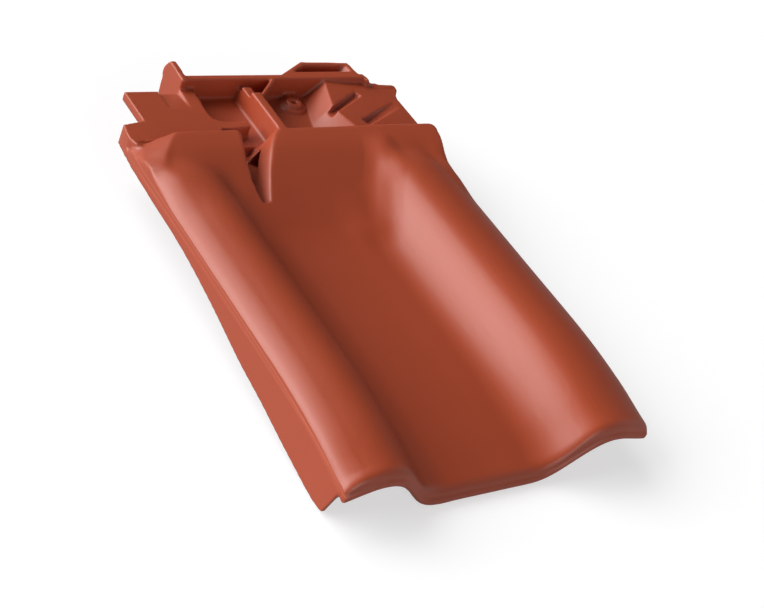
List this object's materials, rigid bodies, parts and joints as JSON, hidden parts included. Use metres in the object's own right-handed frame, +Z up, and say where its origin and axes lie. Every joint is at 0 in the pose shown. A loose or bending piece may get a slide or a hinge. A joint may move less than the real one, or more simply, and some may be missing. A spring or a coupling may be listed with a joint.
{
  "type": "ridge verge tile",
  "caption": "Interlocking clay roof tile for the verge side of the ridge course: waved sheet with a rounded front edge, a hanging verge flap and a stepped head tray with a nail hole.",
  "frame": {"origin": "centre of the bounding box in plan, on the level floor that the tile lies on", "axes": "+X runs across the tile from the verge flap to the covered side, +Y runs along it from the front edge up to the head, +Z is up, out of the weather face"},
  "size_m": [0.3008, 0.4538, 0.0597],
  "materials": {
    "fired_clay": "matte"
  },
  "bodies": {
    "root": {"tile": "fired_clay"}
  },
  "joints": []
}
